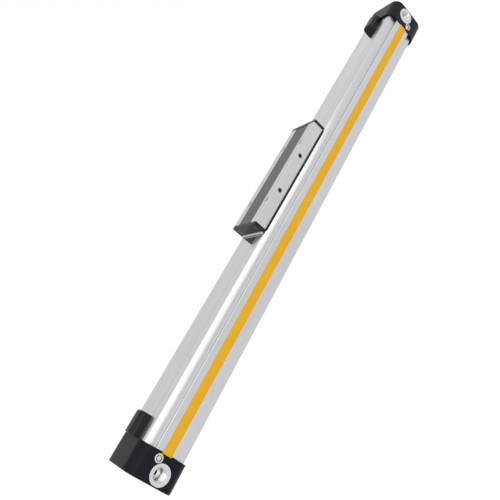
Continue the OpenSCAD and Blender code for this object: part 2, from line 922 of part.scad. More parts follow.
module yoke_screws() {
    color([0.3, 0.3, 0.32]) at_carriage() for (x = yoke_screw_x())
        translate([x, 0, base_top]) difference() {
            union() {
                translate([0, 0, -yoke_screw_len]) cylinder(d = yoke_screw_d, h = yoke_screw_len);
                translate([0, 0, -yoke_screw_d / 2])
                    cylinder(r1 = yoke_screw_d / 2, r2 = yoke_screw_d, h = yoke_screw_d / 2);
            }
            translate([0, 0, -yoke_socket_depth])
                cylinder(r = yoke_socket_r, h = yoke_socket_depth + over, $fn = 6);
        }
}

// Carriage ----------------------------------------------------------------------------

module wall_section() {
    round_box(wall_in, wall_out, wall_bottom, wall_top, wall_edge_r);
    box_2d(wall_in, wall_in + wall_edge_r, wall_bottom, wall_top);
    box_2d(wall_in, wall_out, wall_bottom, wall_bottom + wall_edge_r);
    box_2d(wall_out - skirt_t, wall_out, shoe_bottom, wall_bottom + over);
    box_2d(wall_in - ledge_w, wall_in + over, ledge_top - ledge_t, ledge_top);
}

function plate_screw_y() = wall_in + mount_inset;

module carriage_body() {
    color([0.8, 0.8, 0.81]) at_carriage() difference() {
        union() {
            for (s = [0, 1])
                mirror([0, s, 0]) along_x(-wall_half, wall_half) wall_section();
            across_y(2 * wall_in + 2 * over)
                box_2d(-base_half, base_half, wall_bottom, base_top);
        }
        for (x = [-mount_pitch / 2, mount_pitch / 2], y = [-plate_screw_y(), plate_screw_y()])
            translate([x, y, wall_bottom + mount_floor])
                cylinder(d = mount_thread_d, h = wall_h);
        for (x = [-side_screw_pitch / 2, side_screw_pitch / 2], s = [0, 1])
            mirror([0, s, 0])
                rod_y(x, side_screw_z, wall_in - over, wall_out + over, side_screw_d / 2 + fit);
        for (s = [0, 1], y = [-plate_screw_y(), plate_screw_y()])
            mirror([s, 0, 0]) rod_x(carriage_half - plate_screw_len - fit, carriage_half,
                plate_screw_d / 2 + fit, y, plate_screw_z);
        for (x = yoke_screw_x())
            translate([x, 0, wall_bottom - over]) {
                cylinder(d = yoke_screw_d + 2 * fit, h = base_t + 2 * over);
                translate([0, 0, base_t + over - yoke_screw_d / 2])
                    cylinder(r1 = yoke_screw_d / 2 + fit, r2 = yoke_screw_d + fit,
                        h = yoke_screw_d / 2);
            }
    }
}

// The barrel's upper outline, grown by a gap
module over_barrel(gap) {
    round_box(-core_w / 2 - gap, core_w / 2 + gap, 0, core_top + gap, core_top_r + gap);
}

module shoe_section() {
    difference() {
        union() {
            box_2d(wall_in, wall_out - skirt_t - fit, shoe_bottom - lip_drop, wall_bottom);
            box_2d(wall_in, wall_out, shoe_bottom - lip_drop, shoe_bottom);
        }
        over_barrel(run);
    }
}

module slide_shoe(side) {
    color([0.12, 0.12, 0.13]) at_carriage() mirror([0, side > 0 ? 0 : 1, 0])
        along_x(-wall_half, wall_half) shoe_section();
}

module slide_shoe_front() {
    slide_shoe(-1);
}

module slide_shoe_back() {
    slide_shoe(1);
}

module band_guide() {
    low = shoe_bottom + guide_lift;
    tip = ramp(outer_ramp_in, outer_ramp_out, arch_z, outer_seat, 0, 5);
    top = moved(concat(mirrored(tip), tip), 0, -run);
    tip_x = tip[5][0];
    color([0.15, 0.15, 0.16]) at_carriage() across_y(2 * (wall_in - guide_side_gap))
        polygon(concat([[-tip_x, low]], top, [[tip_x, low], [base_half, low],
            [base_half, base_top], [-base_half, base_top], [-base_half, low]]));
}

module carriage_cover() {
    half_w = wall_in - cover_play;
    leg_half = wall_half - wiper_len - 2 * cover_play;
    color([0.44, 0.44, 0.45]) at_carriage() {
        along_x(-wall_half, wall_half) box_2d(-half_w, half_w, cover_under, cover_top);
        for (s = [0, 1])
            mirror([0, s, 0]) along_x(-leg_half, leg_half)
                box_2d(half_w - leg_t, half_w, ledge_top, cover_under + over);
    }
}

module side_screws() {
    y0 = wall_in - cover_play;
    y1 = wall_out - side_screw_sunk;
    color([0.25, 0.25, 0.26]) at_carriage()
        for (x = [-side_screw_pitch / 2, side_screw_pitch / 2], s = [0, 1])
            mirror([0, s, 0]) difference() {
                rod_y(x, side_screw_z, y0, y1, side_screw_d / 2);
                translate([x, y1 - side_socket_depth, side_screw_z]) rotate([-90, 0, 0])
                    cylinder(r = side_socket_r, h = side_socket_depth + over, $fn = 6);
            }
}

function wiper_edge() = wall_out - plate_leg;

// Plate that follows the barrel's shoulders and leaves room for the wiper's lip
module plate_section() {
    difference() {
        round_box(-wall_out, wall_out, shoe_bottom - lip_drop, wall_top, wall_edge_r);
        over_barrel(run);
        intersection() {
            over_barrel(run + wiper_t + fit);
            box_2d(-wiper_edge() - fit, wiper_edge() + fit, 0, wall_top);
        }
    }
}

module end_plate(end) {
    color([0.14, 0.14, 0.15]) at_carriage() mirror([end == near ? 1 : 0, 0, 0]) difference() {
        along_x(wall_half, carriage_half) plate_section();
        for (y = [-plate_screw_y(), plate_screw_y()]) {
            rod_x(wall_half - over, carriage_half + over, plate_screw_d / 2 + fit, y, plate_screw_z);
            rod_x(wall_half + plate_head_seat, carriage_half + over, plate_head_r + fit, y,
                plate_screw_z);
        }
    }
}

module end_plate_near() {
    end_plate(near);
}

module end_plate_far() {
    end_plate(far);
}

module end_plate_screws() {
    head_top = carriage_half - plate_head_sunk;
    color([0.2, 0.2, 0.21]) at_carriage()
        for (s = [0, 1], y = [-plate_screw_y(), plate_screw_y()])
            mirror([s, 0, 0]) difference() {
                union() {
                    rod_x(carriage_half - plate_screw_len, head_top, plate_screw_d / 2, y,
                        plate_screw_z);
                    rod_x(wall_half + plate_head_seat, head_top, plate_head_r, y, plate_screw_z);
                }
                translate([head_top - plate_socket_depth, y, plate_screw_z]) rotate([0, 90, 0])
                    cylinder(r = plate_socket_r, h = plate_socket_depth + over, $fn = 6);
            }
}

module wiper_section() {
    intersection() {
        difference() {
            over_barrel(run + wiper_t);
            over_barrel(run);
        }
        box_2d(-wiper_edge(), wiper_edge(), core_top - core_top_r, wall_top);
    }
}

// Wiper with a block behind its end plate and a lip that runs out under it
module wiper(end) {
    half_w = outer_band_w / 2;
    low = core_top + run;
    color([0.76, 0.76, 0.77]) at_carriage() mirror([end == near ? 1 : 0, 0, 0]) {
        along_x(wall_half - wiper_len, wall_half) box_2d(-half_w, half_w, low, cover_under);
        along_x(wall_half - over, wall_half + over) box_2d(-half_w, half_w, low, low + wiper_t);
        along_x(wall_half, carriage_half + wiper_proud) wiper_section();
    }
}

module wiper_near() {
    wiper(near);
}

module wiper_far() {
    wiper(far);
}

barrel();
end_cap_near();
end_cap_far();
cap_screws_near();
cap_screws_far();
port_bush_near();
port_bush_far();
cushion_needle_near();
cushion_needle_far();
cushion_seal_near();
cushion_seal_far();
spigot_ring_near();
spigot_ring_far();
band_clamp_near();
band_clamp_far();
clamp_nut_near();
clamp_nut_far();
clamp_screws_near();
clamp_screws_far();
outer_band();
inner_band();
band_magnets();
stripe_front();
stripe_back();
piston_near();
piston_far();
piston_seal_near();
piston_seal_far();
wear_ring_near();
wear_ring_far();
ring_magnet_near();
ring_magnet_far();
piston_screws();
yoke();
yoke_screws();
carriage_body();
carriage_cover();
end_plate_near();
end_plate_far();
end_plate_screws();
wiper_near();
wiper_far();
slide_shoe_front();
slide_shoe_back();
band_guide();
side_screws();
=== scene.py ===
import bpy
import bmesh
import json
from math import radians, pi, hypot
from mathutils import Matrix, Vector


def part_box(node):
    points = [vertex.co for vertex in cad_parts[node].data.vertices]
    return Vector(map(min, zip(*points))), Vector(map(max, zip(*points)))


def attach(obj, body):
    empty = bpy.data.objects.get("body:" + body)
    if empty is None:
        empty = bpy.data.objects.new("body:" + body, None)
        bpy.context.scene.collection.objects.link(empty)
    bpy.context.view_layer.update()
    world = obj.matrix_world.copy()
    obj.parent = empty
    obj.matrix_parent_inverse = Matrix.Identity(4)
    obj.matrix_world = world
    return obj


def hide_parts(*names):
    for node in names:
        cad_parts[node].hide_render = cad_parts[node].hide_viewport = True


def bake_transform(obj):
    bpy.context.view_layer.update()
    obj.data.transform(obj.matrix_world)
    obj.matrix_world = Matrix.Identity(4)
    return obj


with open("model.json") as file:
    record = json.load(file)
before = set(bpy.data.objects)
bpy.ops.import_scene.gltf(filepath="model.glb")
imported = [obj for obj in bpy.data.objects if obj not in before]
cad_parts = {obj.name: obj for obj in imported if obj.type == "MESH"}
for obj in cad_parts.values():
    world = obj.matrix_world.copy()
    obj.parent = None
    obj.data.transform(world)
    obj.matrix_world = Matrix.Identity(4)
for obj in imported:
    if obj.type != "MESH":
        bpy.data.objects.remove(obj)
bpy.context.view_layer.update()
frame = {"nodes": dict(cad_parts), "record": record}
nodes = frame["nodes"]
record = frame["record"]
slotOf = {part["node"]: part["material_slot"] for part in record["subparts"]}
bodyOf = {node: body for body, members in record["behaviour"]["bodies"].items() for node in members}

mm = 0.001
nearEnd = -1
farEnd = 1
bothEnds = {"near": nearEnd, "far": farEnd}
bothSides = {"front": -1, "back": 1}


class Wire:
    # an output socket; sums and products of wires and numbers add Math nodes
    def __init__(self, shader, socket):
        self.shader = shader
        self.socket = socket

    def math(self, operation, first, second):
        return self.shader.node("ShaderNodeMath", {"operation": operation}, {0: first, 1: second})

    def __add__(self, other):
        return self.math("ADD", self, other)

    def __mul__(self, other):
        return self.math("MULTIPLY", self, other)

    def __sub__(self, other):
        return self.math("SUBTRACT", self, other)

    def __rsub__(self, other):
        return self.math("SUBTRACT", other, self)

    __radd__ = __add__
    __rmul__ = __mul__


def dimmed(tone, share):
    return tuple(share * channel for channel in tone)


# Cloud levels at which a finish has its darkest and its full tone
cloudSpan = (0.3, 0.7)


class Shader:
    def __init__(self, owner):
        owner.use_nodes = True
        self.tree = owner.node_tree
        self.tree.nodes.clear()

    def add(self, kind, settings, inputs):
        made = self.tree.nodes.new(kind)
        for key, value in settings.items():
            if key == "stops":
                self.setStops(made.color_ramp, value)
            else:
                setattr(made, key, value)
        for key, value in inputs.items():
            socket = made.inputs[key]
            if isinstance(value, Wire):
                self.tree.links.new(value.socket, socket)
            elif socket.type == "RGBA" and len(value) == 3:
                socket.default_value = (*value, 1)
            else:
                socket.default_value = value
        return made

    def setStops(self, ramp, stops):
        while len(ramp.elements) < len(stops):
            ramp.elements.new(0.5)
        for element, (position, colour) in zip(ramp.elements, stops):
            element.position = position
            element.color = (*colour, 1)

    def node(self, kind, settings=None, inputs=None, output=0):
        return Wire(self, self.add(kind, settings or {}, inputs or {}).outputs[output])

    def objectPlace(self):
        return self.node("ShaderNodeTexCoord", output="Object")

    def noise(self, scale, detail, roughness=0.5):
        mapped = self.node("ShaderNodeMapping", {"vector_type": "POINT"},
                           {"Vector": self.objectPlace(), "Scale": scale})
        return self.node("ShaderNodeTexNoise", {"noise_dimensions": "3D"},
                         {"Vector": mapped, "Scale": 1.0, "Detail": detail, "Roughness": roughness})

    def between(self, value, span):
        # 0 below the span, which is in mm, 1 above it and eased in between
        return self.node("ShaderNodeMapRange", {"interpolation_type": "SMOOTHSTEP"},
                         {"Value": value, "From Min": span[0] * mm, "From Max": span[1] * mm})

    def mixedTone(self, share, tone, other):
        # of a Mix node's sockets, inputs 6 and 7 and output 2 are the colours
        return self.node("ShaderNodeMix", {"data_type": "RGBA"}, {0: share, 6: tone, 7: other},
                         output=2)

    def worked(self, look, tone, roughness, relief):
        # what all finishes share: a cloudy tone, an uneven gloss and a fine relief
        fine = self.noise(*look["fine"])
        cloud = self.noise(*look["cloud"]) if "cloud" in look else fine
        gloss = roughness - (look["fineReach"] + look["cloudReach"]) / 2
        for noise, reach in ((fine, look["fineReach"]), (cloud, look["cloudReach"])):
            if reach:
                gloss = noise * reach + gloss
        stops = (cloudSpan[0], dimmed(tone, look["darkest"])), (cloudSpan[1], tone)
        return {
            "Base Color": self.node("ShaderNodeValToRGB", {"stops": stops}, {0: cloud}),
            "Roughness": gloss,
            "Normal": self.node("ShaderNodeBump", {}, {"Height": fine, "Strength": relief,
                                                       "Distance": look["depth"] * mm})}

    def finish(self, surface, kind="ShaderNodeOutputMaterial"):
        self.add(kind, {}, {"Surface": surface})

    def principled(self, inputs):
        self.finish(self.node("ShaderNodeBsdfPrincipled", {}, inputs))

    def shownDirectly(self):
        # 1 for rays from the eye, and for those by way of gloss or glass
        path = self.add("ShaderNodeLightPath", {}, {})
        eye, gloss, glass = (Wire(self, path.outputs[kind]) for kind in
                             ("Is Camera Ray", "Is Glossy Ray", "Is Transmission Ray"))
        return self.node("ShaderNodeMath", {"operation": "ADD", "use_clamp": True},
                         {0: eye + gloss, 1: glass})


def newMaterial(name):
    material = bpy.data.materials.new(name)
    return material, Shader(material)


# How each finish is worked. Its two noises, fine and cloud, give their scale in cells per metre
# along X, Y and Z, their detail and their roughness. A reach is how far a noise moves the gloss,
# darkest is the darkest share of the tone, and depth is the height of the fine relief in mm.
drawn = {"fine": ((4, 1900, 1900), 4.0, 0.62), "fineReach": 0.1, "depth": 0.02,
         "cloud": ((45, 120, 120), 3.0), "cloudReach": 0.05, "darkest": 0.96}

# Painted light on the barrel, as a brighter tone: a painted highlight down the guide edge that
# fades out along X, and painted light on the shade in the rails' root corners; spans in mm below
# its top, and from its middle along X
paintedLight = {"tone": (0.9, 0.9, 0.905), "highlightStart": (0.4, 1.5), "highlightStop": (4.0, 6.2),
           "highlightFade": (0.0, 110.0), "rootLightStart": (7.6, 8.7), "rootLightStop": (9.2, 9.7),
           "rootLightShare": 0.5}


def drawnAluminium(name, tone, roughness, relief):
    # clear anodised extrusion: draw lines along X, a painted highlight down the guide edge and
    # painted light in the rails' root corners
    material, s = newMaterial(name)
    axes = s.add("ShaderNodeSeparateXYZ", {}, {0: s.objectPlace()})
    along = Wire(s, axes.outputs["X"])
    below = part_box("barrel")[1].z - Wire(s, axes.outputs["Z"])
    # painted highlight down the guide edge, fading toward the far end, and painted light where the
    # rails' root corners are shaded
    edge = s.between(below, paintedLight["highlightStart"]) - s.between(below, paintedLight["highlightStop"])
    rootLight = s.between(below, paintedLight["rootLightStart"]) - s.between(below, paintedLight["rootLightStop"])
    paintedLightShare = edge * (1 - s.between(along, paintedLight["highlightFade"])) + rootLight * paintedLight["rootLightShare"]
    inputs = s.worked(drawn, tone, roughness, relief)
    inputs["Base Color"] = s.mixedTone(paintedLightShare, inputs["Base Color"], paintedLight["tone"])
    s.principled({**inputs, "Metallic": 1.0})
    return material


blasted = {"fine": ((3200, 3200, 3200), 2.0, 0.6), "fineReach": 0.1, "depth": 0.01,
           "cloud": ((60, 90, 90), 3.0), "cloudReach": 0.06, "darkest": 0.96}


def blastedAluminium(name, tone, roughness, relief):
    # milled, then bead blasted and anodised
    material, s = newMaterial(name)
    s.principled({**s.worked(blasted, tone, roughness, relief), "Metallic": 1.0})
    return material


rolled = {"fine": ((3, 2600, 2600), 3.0, 0.55), "fineReach": 0.05, "depth": 0.01,
          "cloud": ((30, 150, 150), 2.0), "cloudReach": 0.04, "darkest": 0.95}


def rolledStrip(name, tone, roughness, relief):
    # bright rolled stainless strip with faint lines along it
    material, s = newMaterial(name)
    s.principled({**s.worked(rolled, tone, roughness, relief), "Metallic": 1.0})
    return material


machined = {"fine": ((500, 500, 500), 4.0, 0.6), "fineReach": 0.14, "depth": 0.01,
            "cloudReach": 0, "darkest": 0.9}


def machinedMetal(name, tone, roughness, relief=0.15):
    # turned and handled: one noise of fine scuffs does for tone, gloss and relief
    material, s = newMaterial(name)
    s.principled({**s.worked(machined, tone, roughness, relief), "Metallic": 1.0})
    return material


coated = {"fine": ((900, 900, 900), 2.0), "fineReach": 0, "depth": 0.03,
          "cloud": ((70, 70, 70), 3.0), "cloudReach": 0.1, "darkest": 0.88}


def coatedCasting(name, tone, roughness, relief, ior=1.33, sheen=0.5, sheenTone=(1.0, 1.0, 1.0)):
    # sprayed coating: slight orange peel and small differences in gloss
    material, s = newMaterial(name)
    s.principled({**s.worked(coated, tone, roughness, relief), "IOR": ior,
                  "Specular IOR Level": sheen, "Specular Tint": sheenTone})
    return material


moulded = {"fine": ((2600, 2600, 2600), 2.0), "fineReach": 0.06, "depth": 0.02,
           "cloud": ((90, 90, 90), 2.0), "cloudReach": 0.08, "darkest": 0.95}


def mouldedPlastic(name, tone, roughness, relief, ior=1.42):
    # fine spark-eroded grain
    material, s = newMaterial(name)
    s.principled({**s.worked(moulded, tone, roughness, relief), "IOR": ior})
    return material


# Each finish: its name, tone, roughness, how strong its relief is, and any sheen of its own
paints = {
    "barrel_aluminium": drawnAluminium("anodised barrel", (0.585, 0.592, 0.61), 0.34, 0.3),
    "carriage_aluminium": blastedAluminium("anodised carriage", (0.6, 0.605, 0.615), 0.58, 0.25),
    "piston_aluminium": machinedMetal("turned aluminium", (0.6, 0.61, 0.63), 0.3),
    "cap_black": coatedCasting("black cap coating", (0.0105, 0.011, 0.015), 0.38, 0.1,
                               ior=1.27, sheen=0.34, sheenTone=(0.72, 0.82, 1.0)),
    "black_plastic": mouldedPlastic("black plastic", (0.0052, 0.0055, 0.0066), 0.36, 0.1,
                                    ior=1.35),
    "cover_grey": coatedCasting("grey cover coating", (0.135, 0.136, 0.143), 0.5, 0.12),
    "stripe_yellow": mouldedPlastic("yellow strip", (0.84, 0.45, 0.018), 0.5, 0.05, ior=1.3),
    "band_steel": rolledStrip("polished band", (0.57, 0.567, 0.555), 0.105, 0.15),
    "bright_steel": machinedMetal("bright steel", (0.65, 0.65, 0.66), 0.24),
    "dark_screw": machinedMetal("blackened steel", (0.09, 0.09, 0.095), 0.35),
    "seal_rubber": mouldedPlastic("black rubber", (0.01, 0.01, 0.01), 0.6, 0.2),
    "magnet_strip": mouldedPlastic("bonded magnet", (0.04, 0.04, 0.042), 0.5, 0.2),
    "wear_plastic": mouldedPlastic("wear plastic", (0.09, 0.07, 0.05), 0.45, 0.1),
    "wiper_grey": mouldedPlastic("grey wiper", (0.72, 0.72, 0.73), 0.45, 0.1),
}
for name, node in nodes.items():
    node.data.materials.clear()
    node.data.materials.append(paints[slotOf[name]])
print("materials made")


def addPiece(name, bm, node, sharp=35):
    # a new piece with the finish of the CAD node that it stands for
    mesh = bpy.data.meshes.new(name)
    bm.to_mesh(mesh)
    bm.free()
    mesh.polygons.foreach_set("use_smooth", [True] * len(mesh.polygons))
    mesh.set_sharp_from_angle(angle=radians(sharp))
    mesh.materials.append(paints[slotOf[node]])
    piece = bpy.data.objects.new(name, mesh)
    bpy.context.collection.objects.link(piece)
    shading = piece.modifiers.new("flat faces stay flat", "WEIGHTED_NORMAL")
    shading.mode = "FACE_AREA"
    shading.keep_sharp = True
    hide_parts(node)
    return piece


def addRigidPiece(node, bm):
    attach(addPiece(node + "_piece", bm, node), bodyOf[node])


# Vertices closer than joinGap are one, and so are faces within joinAngle degrees of each other
joinGap = 0.001 * mm
joinAngle = 0.4
# Places closer than this lie on the same plane or outline
closeTo = 0.05 * mm


def mergedCopy(node):
    # the node's own solid with its triangles joined back into whole faces
    bm = bmesh.new()
    bm.from_mesh(nodes[node].data)
    bmesh.ops.remove_doubles(bm, verts=bm.verts, dist=joinGap)
    bmesh.ops.dissolve_limit(bm, angle_limit=radians(joinAngle), verts=bm.verts, edges=bm.edges)
    return bm


def hardEdges(bm, angle=30):
    return [e for e in bm.edges if len(e.link_faces) == 2 and e.calc_face_angle() > radians(angle)]


def breakEdges(bm, edges, width, segments=2, clamp=True):
    bmesh.ops.bevel(bm, geom=edges, offset=width * mm, segments=segments, profile=0.5,
                    affect="EDGES", material=-1, clamp_overlap=clamp)


def middle(edge):
    return (edge.verts[0].co + edge.verts[1].co) / 2


def at(place, target):
    return abs(place - target) < closeTo


def endFace(node, end):
    # X of the face that the node turns to the near or the far end
    low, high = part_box(node)
    return low.x if end == nearEnd else high.x


def frontMouth(node):
    # the middle of the node's front face, where its hole opens
    low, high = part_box(node)
    return Vector(((low.x + high.x) / 2, low.y, (low.z + high.z) / 2))


# Thread sizes in mm: pitch, height of the ridge and steps in one turn
pipeThread = {"pitch": 0.907, "height": 0.45, "steps": 40}
mountThread = {"pitch": 0.8, "height": 0.22, "steps": 20}
# Ridge of a thread: where in one pitch its foot and crest lie, and its share sunk in the wall
ridge = {"foot": 0.05, "crest": 0.5, "sunk": 0.1}


def addThread(bm, mouth, inward, radius, length, thread):
    # a closed helical ridge on the wall of a hole
    out = inward.orthogonal().normalized()
    pitch = thread["pitch"] * mm
    height = thread["height"] * mm
    foot = radius + ridge["sunk"] * height
    outline = [(foot, ridge["foot"]), (radius - height, ridge["crest"]), (foot, 1 - ridge["foot"])]
    verts = [bm.verts.new(mouth + out * r + inward * along * pitch) for r, along in outline]
    edges = [bm.edges.new((verts[i], verts[i - 1])) for i in range(len(verts))]
    steps = int(thread["steps"] * (length / pitch - 1))
    before = set(bm.faces)
    made = bmesh.ops.spin(bm, geom=verts + edges, cent=mouth, axis=inward,
                          dvec=inward * pitch / thread["steps"],
                          angle=2 * pi * steps / thread["steps"], steps=steps)
    bm.faces.new(verts)
    bm.faces.new([v for v in made["geom_last"] if isinstance(v, bmesh.types.BMVert)])
    bmesh.ops.recalc_face_normals(bm, faces=[f for f in bm.faces if f not in before])


def spun(outline, mouth, inward, steps):
    # a closed outline of radius and depth, in mm, turned once round a hole's axis
    side = inward.orthogonal().normalized()
    bm = bmesh.new()
    verts = [bm.verts.new(mouth + (side * r + inward * d) * mm) for r, d in outline]
    edges = [bm.edges.new((verts[i - 1], verts[i])) for i in range(len(verts))]
    bmesh.ops.spin(bm, geom=verts + edges, cent=mouth, axis=inward, angle=2 * pi, steps=steps,
                   use_merge=True)
    bmesh.ops.remove_doubles(bm, verts=bm.verts, dist=joinGap)
    bmesh.ops.recalc_face_normals(bm, faces=bm.faces)
    return bm


# Barrel, in mm: round of the rails' corners; the edges within grooveReach of its mid-height are
# those of the groove and stay as they are
barrel = {"railRound": 0.4, "grooveReach": 6.0}


def buildBarrel():
    low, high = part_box("barrel")
    middleZ = (low.z + high.z) / 2
    bm = mergedCopy("barrel")
    rails = [e for e in hardEdges(bm) if at(abs(middle(e).y), high.y)
             and abs(middle(e).z - middleZ) > barrel["grooveReach"] * mm]
    breakEdges(bm, rails, barrel["railRound"], segments=3)
    addRigidPiece("barrel", bm)


buildBarrel()

# Strips and small parts: the same solids with their edges broken, widths in mm
plainBreaks = {
    "stripe_front": 0.1,
    "stripe_back": 0.1,
    "side_screws": 0.2,
    "end_plate_screws": 0.2,
    "wiper_near": 0.2,
    "wiper_far": 0.2,
}
for node, width in plainBreaks.items():
    bm = mergedCopy(node)
    breakEdges(bm, hardEdges(bm), width)
    addRigidPiece(node, bm)
print("barrel and small pieces made")


# Slide shoe, in mm: break of its edges, and how far its lip swells out and down
slideShoe = {"edgeBreak": 0.1, "lipProud": 0.5, "lipDrop": 0.65}


def buildSlideShoe(side, out):
    # the lip swells out a little under the wall and hugs the barrel's shoulder; the lip is real,
    # but swollen past the shoe's own size its black also stands for the shadow beneath it, as
    # painted shade
    node = "slide_shoe_" + side
    low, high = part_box(node)
    outer = low.y if out < 0 else high.y
    bm = mergedCopy(node)
    lip = [v for v in bm.verts if at(v.co.y, outer)]
    bottom = min(v.co.z for v in lip)
    lowest = [v for v in lip if at(v.co.z, bottom)]
    bmesh.ops.translate(bm, verts=lip, vec=(0, out * slideShoe["lipProud"] * mm, 0))
    bmesh.ops.translate(bm, verts=lowest, vec=(0, 0, -slideShoe["lipDrop"] * mm))
    breakEdges(bm, hardEdges(bm), slideShoe["edgeBreak"])
    addRigidPiece(node, bm)


for side, out in bothSides.items():
    buildSlideShoe(side, out)


def buildBandHalf(node, name, end):
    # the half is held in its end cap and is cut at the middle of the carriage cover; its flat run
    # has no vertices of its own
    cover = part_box("carriage_cover")
    bm = mergedCopy(node)
    bmesh.ops.bisect_plane(bm, geom=bm.verts[:] + bm.edges[:] + bm.faces[:], dist=joinGap,
                           plane_co=((cover[0].x + cover[1].x) / 2, 0, 0), plane_no=(end, 0, 0),
                           clear_inner=True)
    bmesh.ops.holes_fill(bm, edges=[e for e in bm.edges if e.is_boundary], sides=0)
    piece = addPiece(node + "_" + name + "_half", bm, node, sharp=30)
    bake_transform(piece)


for name, end in bothEnds.items():
    buildBandHalf("outer_band", name, end)
for name, end in bothEnds.items():
    buildBandHalf("inner_band", name, end)
print("bands made")


# End cap, in mm: radius of its long corners, round of its outer rim, break of its other edges
endCap = {"cornerRadius": 8.75, "rimRound": 0.9, "edgeBreak": 0.18}


def onOutline(vert, low, high):
    # true on the rounded square that a cap shows from its end
    centre = (low + high) / 2
    cornerRadius = endCap["cornerRadius"] * mm
    straight = (high.y - low.y) / 2 - cornerRadius
    y = max(abs(vert.co.y - centre.y) - straight, 0)
    z = max(abs(vert.co.z - centre.z) - straight, 0)
    return at(hypot(y, z), cornerRadius)


def buildEndCap(name, end):
    node = "end_cap_" + name
    low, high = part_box(node)
    face = endFace(node, end)
    bm = mergedCopy(node)
    rim = [e for e in hardEdges(bm)
           if all(onOutline(v, low, high) and at(v.co.x, face) for v in e.verts)]
    breakEdges(bm, rim, endCap["rimRound"], segments=4)
    breakEdges(bm, hardEdges(bm), endCap["edgeBreak"])
    addRigidPiece(node, bm)


# Cap screws, in mm: their heads are threaded inside, for mounts
capScrew = {"headRadius": 4.0, "edgeBreak": 0.18, "threadRadius": 2.1, "threadLength": 10.5}


def buildCapScrews(name, end):
    node = "cap_screws_" + name
    low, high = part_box(node)
    headRadius = capScrew["headRadius"] * mm
    bm = mergedCopy(node)
    breakEdges(bm, hardEdges(bm), capScrew["edgeBreak"])
    for y in (low.y + headRadius, high.y - headRadius):
        for z in (low.z + headRadius, high.z - headRadius):
            addThread(bm, Vector((endFace(node, end), y, z)), Vector((-end, 0, 0)),
                      capScrew["threadRadius"] * mm, capScrew["threadLength"] * mm, mountThread)
    addRigidPiece(node, bm)


# Port bush, in mm: radii, and depths from its front face
portBush = {"flange": 8.0, "flangeDepth": 2.2, "sleeve": 5.5, "depth": 11.0, "bore": 4.85,
            "edge": 0.25, "lead": 0.35, "floor": 9.8, "drillDrop": 0.7, "drill": 2.2, "steps": 72}


def buildPortBush(name):
    node = "port_bush_" + name
    mouth = frontMouth(node)
    inward = Vector((0, 1, 0))
    b = portBush
    outline = [(b["drill"], b["floor"] + b["drillDrop"]), (b["drill"], b["depth"]),
               (b["sleeve"], b["depth"]), (b["sleeve"], b["flangeDepth"]),
               (b["flange"], b["flangeDepth"]), (b["flange"], b["edge"]),
               (b["flange"] - b["edge"], 0), (b["bore"] + b["lead"], 0), (b["bore"], b["lead"]),
               (b["bore"], b["floor"])]
    bm = spun(outline, mouth, inward, b["steps"])
    addThread(bm, mouth + inward * b["lead"] * mm, inward, b["bore"] * mm,
              (b["floor"] - b["lead"]) * mm, pipeThread)
    addRigidPiece(node, bm)


# Cushion needle, in mm: radii, and depths from its front face; a stud stands in its hollow head
needle = {"head": 3.25, "headEdge": 0.3, "headDepth": 3.2, "stem": 2.5, "taper": 2.2,
          "point": 0.75, "hollow": 2.3, "hollowEdge": 0.2, "hollowDepth": 4.0, "stud": 1.55,
          "studEdge": 0.15, "studDrop": 0.3, "socket": 0.85, "socketDepth": 1.3,
          "socketTaper": 0.3, "steps": 48}


def buildNeedle(name):
    node = "cushion_needle_" + name
    low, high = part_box(node)
    length = (high.y - low.y) / mm
    n = needle
    outline = [(0, n["socketDepth"]), (n["socket"], n["socketDepth"] - n["socketTaper"]),
               (n["socket"], n["studDrop"]), (n["stud"] - n["studEdge"], n["studDrop"]),
               (n["stud"], n["studDrop"] + n["studEdge"]), (n["stud"], n["hollowDepth"]),
               (n["hollow"], n["hollowDepth"]), (n["hollow"], n["hollowEdge"]),
               (n["hollow"] + n["hollowEdge"], 0), (n["head"] - n["headEdge"], 0),
               (n["head"], n["headEdge"]), (n["head"], n["headDepth"]),
               (n["stem"], n["headDepth"]), (n["stem"], length - n["taper"]),
               (n["point"], length), (0, length)]
    addRigidPiece(node, spun(outline, frontMouth(node), Vector((0, 1, 0)), n["steps"]))


# Band clamp, in mm: round of the corners within reach of its inner face, break of its edges
bandClamp = {"cornerRound": 1.4, "cornerReach": 2.2, "edgeBreak": 0.4}


def buildBandClamp(name, end):
    node = "band_clamp_" + name
    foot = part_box(node)[0].z
    inner = endFace(node, -end)
    bm = mergedCopy(node)
    corners = [e for e in hardEdges(bm) if not at(middle(e).z, foot)
               and abs(middle(e).x - inner) < bandClamp["cornerReach"] * mm]
    breakEdges(bm, corners, bandClamp["cornerRound"], segments=4)
    breakEdges(bm, hardEdges(bm), bandClamp["edgeBreak"])
    addRigidPiece(node, bm)


for name, end in bothEnds.items():
    buildEndCap(name, end)
    buildCapScrews(name, end)
    buildPortBush(name)
    buildNeedle(name)
    buildBandClamp(name, end)
print("end caps made")


# Carriage body, in mm and degrees: a hole's rim is made of edges shorter than rimEdge, and lies
# farther than endMargin from the body's ends
carriageBody = {"edgeBreak": 0.08, "breakAngle": 50, "topChamfer": 0.45, "sideChamfer": 0.5,
                "rimEdge": 0.9, "endMargin": 1.0, "threadLength": 6.0}


def addMountThreads(bm, centre, mouthZ):
    # in the four holes that carry the load, at the places that the record gives
    pattern = next(m for m in record["mounts"] if m["name"] == "carriage_mount")["dims"]
    for along in (-1, 1):
        for across in (-1, 1):
            mouth = Vector((centre.x + along * pattern["spacing_x_mm"] / 2 * mm,
                            centre.y + across * pattern["spacing_y_mm"] / 2 * mm, mouthZ))
            addThread(bm, mouth, Vector((0, 0, -1)), pattern["hole_r_mm"] * mm,
                      carriageBody["threadLength"] * mm, mountThread)


